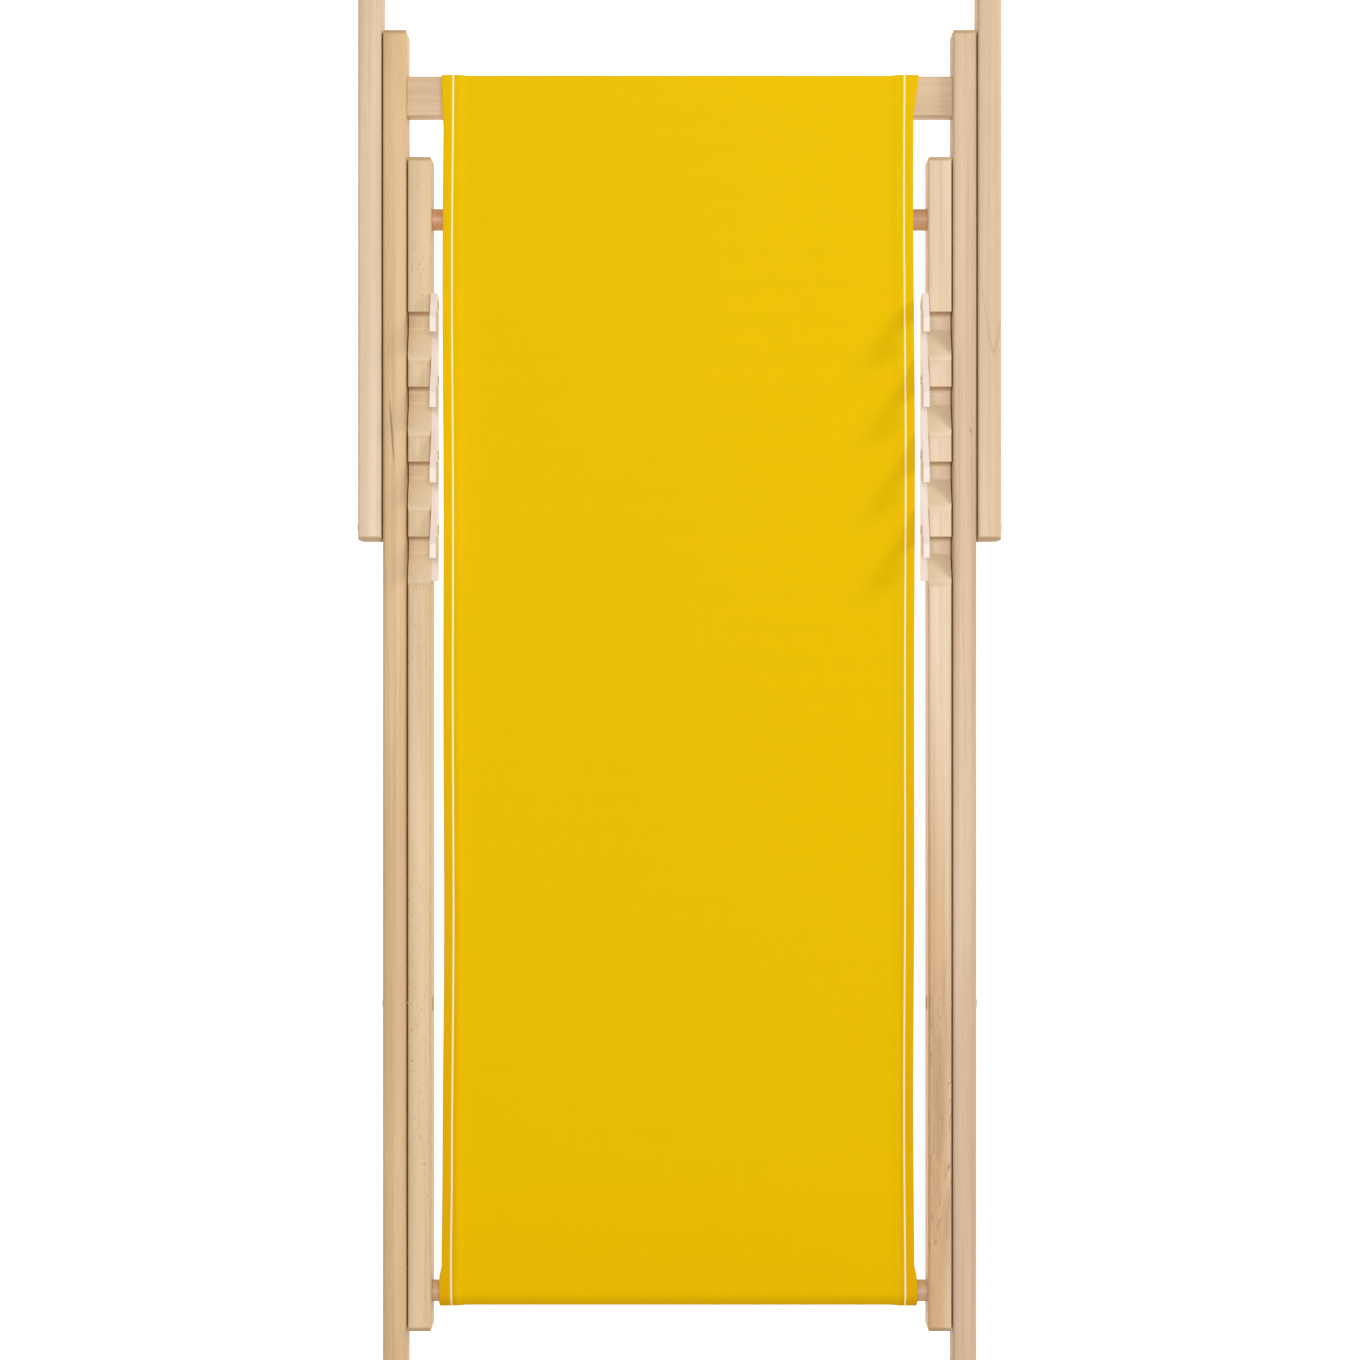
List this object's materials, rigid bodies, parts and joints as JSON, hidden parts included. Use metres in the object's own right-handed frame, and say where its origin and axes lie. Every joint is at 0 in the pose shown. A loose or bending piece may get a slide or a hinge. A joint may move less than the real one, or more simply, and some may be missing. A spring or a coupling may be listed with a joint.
{
  "type": "folding deck chair",
  "caption": "Folding garden deck chair with pivoting wooden rail frames, a prop bar that drops into ratchet notches to set the recline, and a canvas sling.",
  "frame": {"origin": "middle of the folded chair's underside, on the surface that its back lies on", "axes": "+X across the chair, +Y along the main rails towards the head end, +Z out of the side that a sitter faces"},
  "size_m": [0.5978, 1.38, 0.058],
  "materials": {
    "beech": "clear satin varnish over pale straight-grained wood",
    "pivot_steel": "zinc plated",
    "tack_steel": "plain steel",
    "screw_brass": "dull brass-plated",
    "ratchet_plastic": "off-white moulded plastic",
    "canvas": "plain woven yellow canvas with folded side hems"
  },
  "bodies": {
    "main_frame": {"main_rail_left": "beech", "main_rail_right": "beech", "head_rail": "beech", "foot_rail": "beech", "head_rail_screws": "screw_brass", "foot_rail_screws": "screw_brass", "seat_pivot_bolt_left": "pivot_steel", "seat_pivot_bolt_right": "pivot_steel", "seat_pivot_washer_left": "pivot_steel", "seat_pivot_washer_right": "pivot_steel", "seat_pivot_nut_left": "pivot_steel", "seat_pivot_nut_right": "pivot_steel", "prop_pivot_bolt_left": "pivot_steel", "prop_pivot_bolt_right": "pivot_steel", "prop_pivot_washer_left": "pivot_steel", "prop_pivot_washer_right": "pivot_steel", "prop_pivot_nut_left": "pivot_steel", "prop_pivot_nut_right": "pivot_steel", "head_tacks": "tack_steel", "sling_back": "canvas", "sling_head_wrap": "canvas"},
    "seat_frame": {"seat_rail_left": "beech", "seat_rail_right": "beech", "front_dowel": "beech", "rear_dowel": "beech", "seat_dowel_pins": "tack_steel", "ratchet_plate_left": "ratchet_plastic", "ratchet_plate_right": "ratchet_plastic", "ratchet_screws_left": "screw_brass", "ratchet_screws_right": "screw_brass", "front_tacks": "tack_steel", "sling_seat": "canvas", "sling_front_wrap": "canvas"},
    "prop_frame": {"prop_rail_left": "beech", "prop_rail_right": "beech", "prop_bar": "beech", "prop_bar_pins": "tack_steel"}
  },
  "joints": [
    {"name": "seat_frame_fold", "type": "hinge", "parent": "main_frame", "child": "seat_frame", "pos_m": [0, -0.29, 0.019], "axis": [-1, 0, 0], "range_deg": [0, 74.56]},
    {"name": "prop_frame_swing", "type": "hinge", "parent": "main_frame", "child": "prop_frame", "pos_m": [0, 0.15, 0.019], "axis": [-1, 0, 0], "range_deg": [0, 128.03]}
  ]
}
